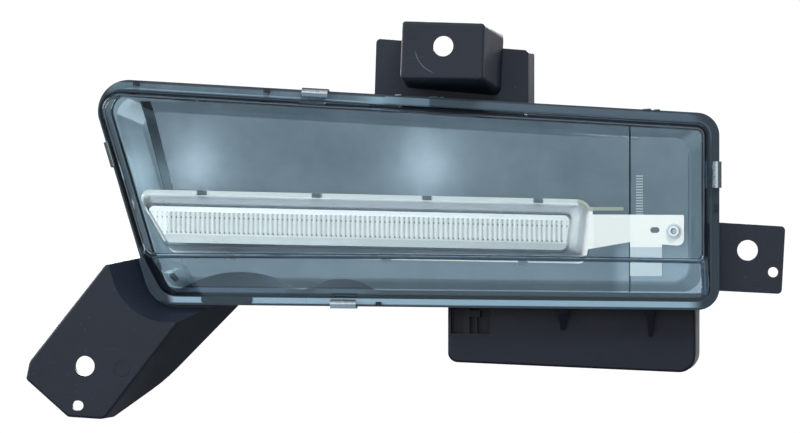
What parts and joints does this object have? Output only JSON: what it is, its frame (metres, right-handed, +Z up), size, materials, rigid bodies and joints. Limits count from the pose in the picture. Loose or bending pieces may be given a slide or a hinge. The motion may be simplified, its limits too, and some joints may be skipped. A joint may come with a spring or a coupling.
{
  "type": "daytime running light",
  "caption": "Sealed vehicle daytime running light: clear slanted lens over a grey bezel and a long fluted light bar, black moulded housing with bolt-on arms and a finned driver box.",
  "frame": {"origin": "centre of the upper mounting hole, on the front face of its pad", "axes": "+X to the right seen from the front, +Y rearwards into the vehicle, +Z up"},
  "size_m": [0.3486, 0.102, 0.1844],
  "materials": {
    "housing_plastic": "fine moulded grain",
    "lens_clear": "clear, faint smoky blue",
    "seal_compound": "matt",
    "clip_steel": "bright zinc",
    "bezel_satin": "satin metallic grey",
    "bar_clear": "clear",
    "optic_white": "milky translucent",
    "reflector_white": "gloss white",
    "board_white": "white solder mask",
    "diode": "yellow phosphor",
    "plug_white": "plain",
    "lead_sheath": "matt",
    "carrier_white": "white paint",
    "screw_steel": "bright zinc",
    "board_green": "green solder mask",
    "board_parts": "plain",
    "cover_aluminium": "die-cast",
    "seal_rubber": "matt",
    "socket_plastic": "moulded",
    "terminal_brass": "tinned",
    "vent_plastic": "moulded",
    "membrane": "matt"
  },
  "bodies": {
    "root": {"rear_housing": "housing_plastic", "outer_lens": "lens_clear", "lens_seal": "seal_compound", "lens_clip_top": "clip_steel", "lens_clip_right": "clip_steel", "lens_clip_bottom": "clip_steel", "lens_clip_left": "clip_steel", "main_bezel": "bezel_satin", "end_bezel": "bezel_satin", "bar_lens": "bar_clear", "fluted_optic": "optic_white", "reflector": "reflector_white", "led_board": "board_white", "led_chips": "diode", "led_plug": "plug_white", "led_lead": "lead_sheath", "carrier_plate": "carrier_white", "carrier_screw": "screw_steel", "cover_screws": "screw_steel", "driver_board": "board_green", "driver_parts": "board_parts", "driver_cover": "cover_aluminium", "cover_seal": "seal_rubber", "connector_shell": "socket_plastic", "connector_pins": "terminal_brass", "vent_cap": "vent_plastic", "vent_membrane": "membrane"}
  },
  "joints": []
}
